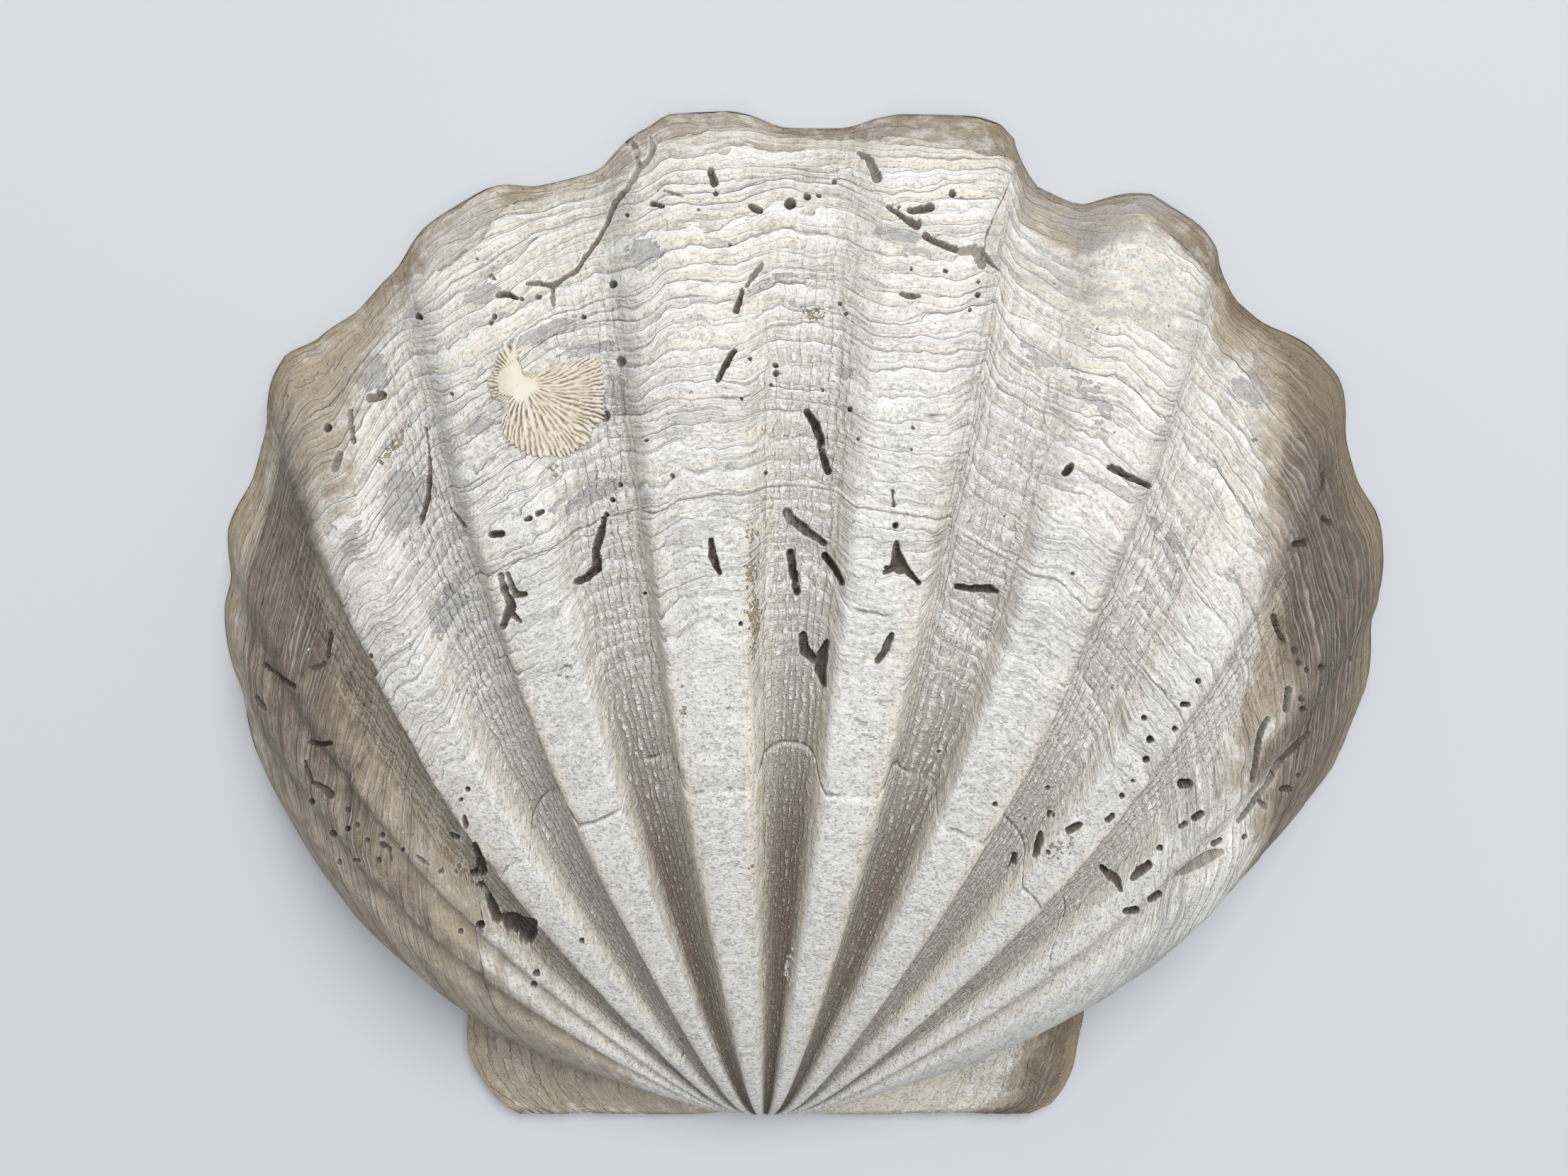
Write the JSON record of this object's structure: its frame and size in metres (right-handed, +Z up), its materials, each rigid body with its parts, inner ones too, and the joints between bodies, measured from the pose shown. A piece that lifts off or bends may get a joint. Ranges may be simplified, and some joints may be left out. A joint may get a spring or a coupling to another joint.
{
  "type": "fossil scallop shell valve",
  "caption": "Single ribbed valve of a large fossil scallop, lying convex side up on its margin, with worn ribs, growth ledges, borings and a small cemented barnacle base.",
  "frame": {"origin": "middle of the valve's bounding box, on the surface that it rests on", "axes": "+Z up through the convex side, +X across the valve along the hinge line, +Y from the hinge to the far margin"},
  "size_m": [0.1166, 0.1016, 0.0292],
  "materials": {
    "shell": "matt, chalky, worn smooth on the ribs",
    "barnacle_base": "matt, chalky"
  },
  "bodies": {
    "root": {"valve": "shell", "encrusting_barnacle_base": "barnacle_base"}
  },
  "joints": []
}
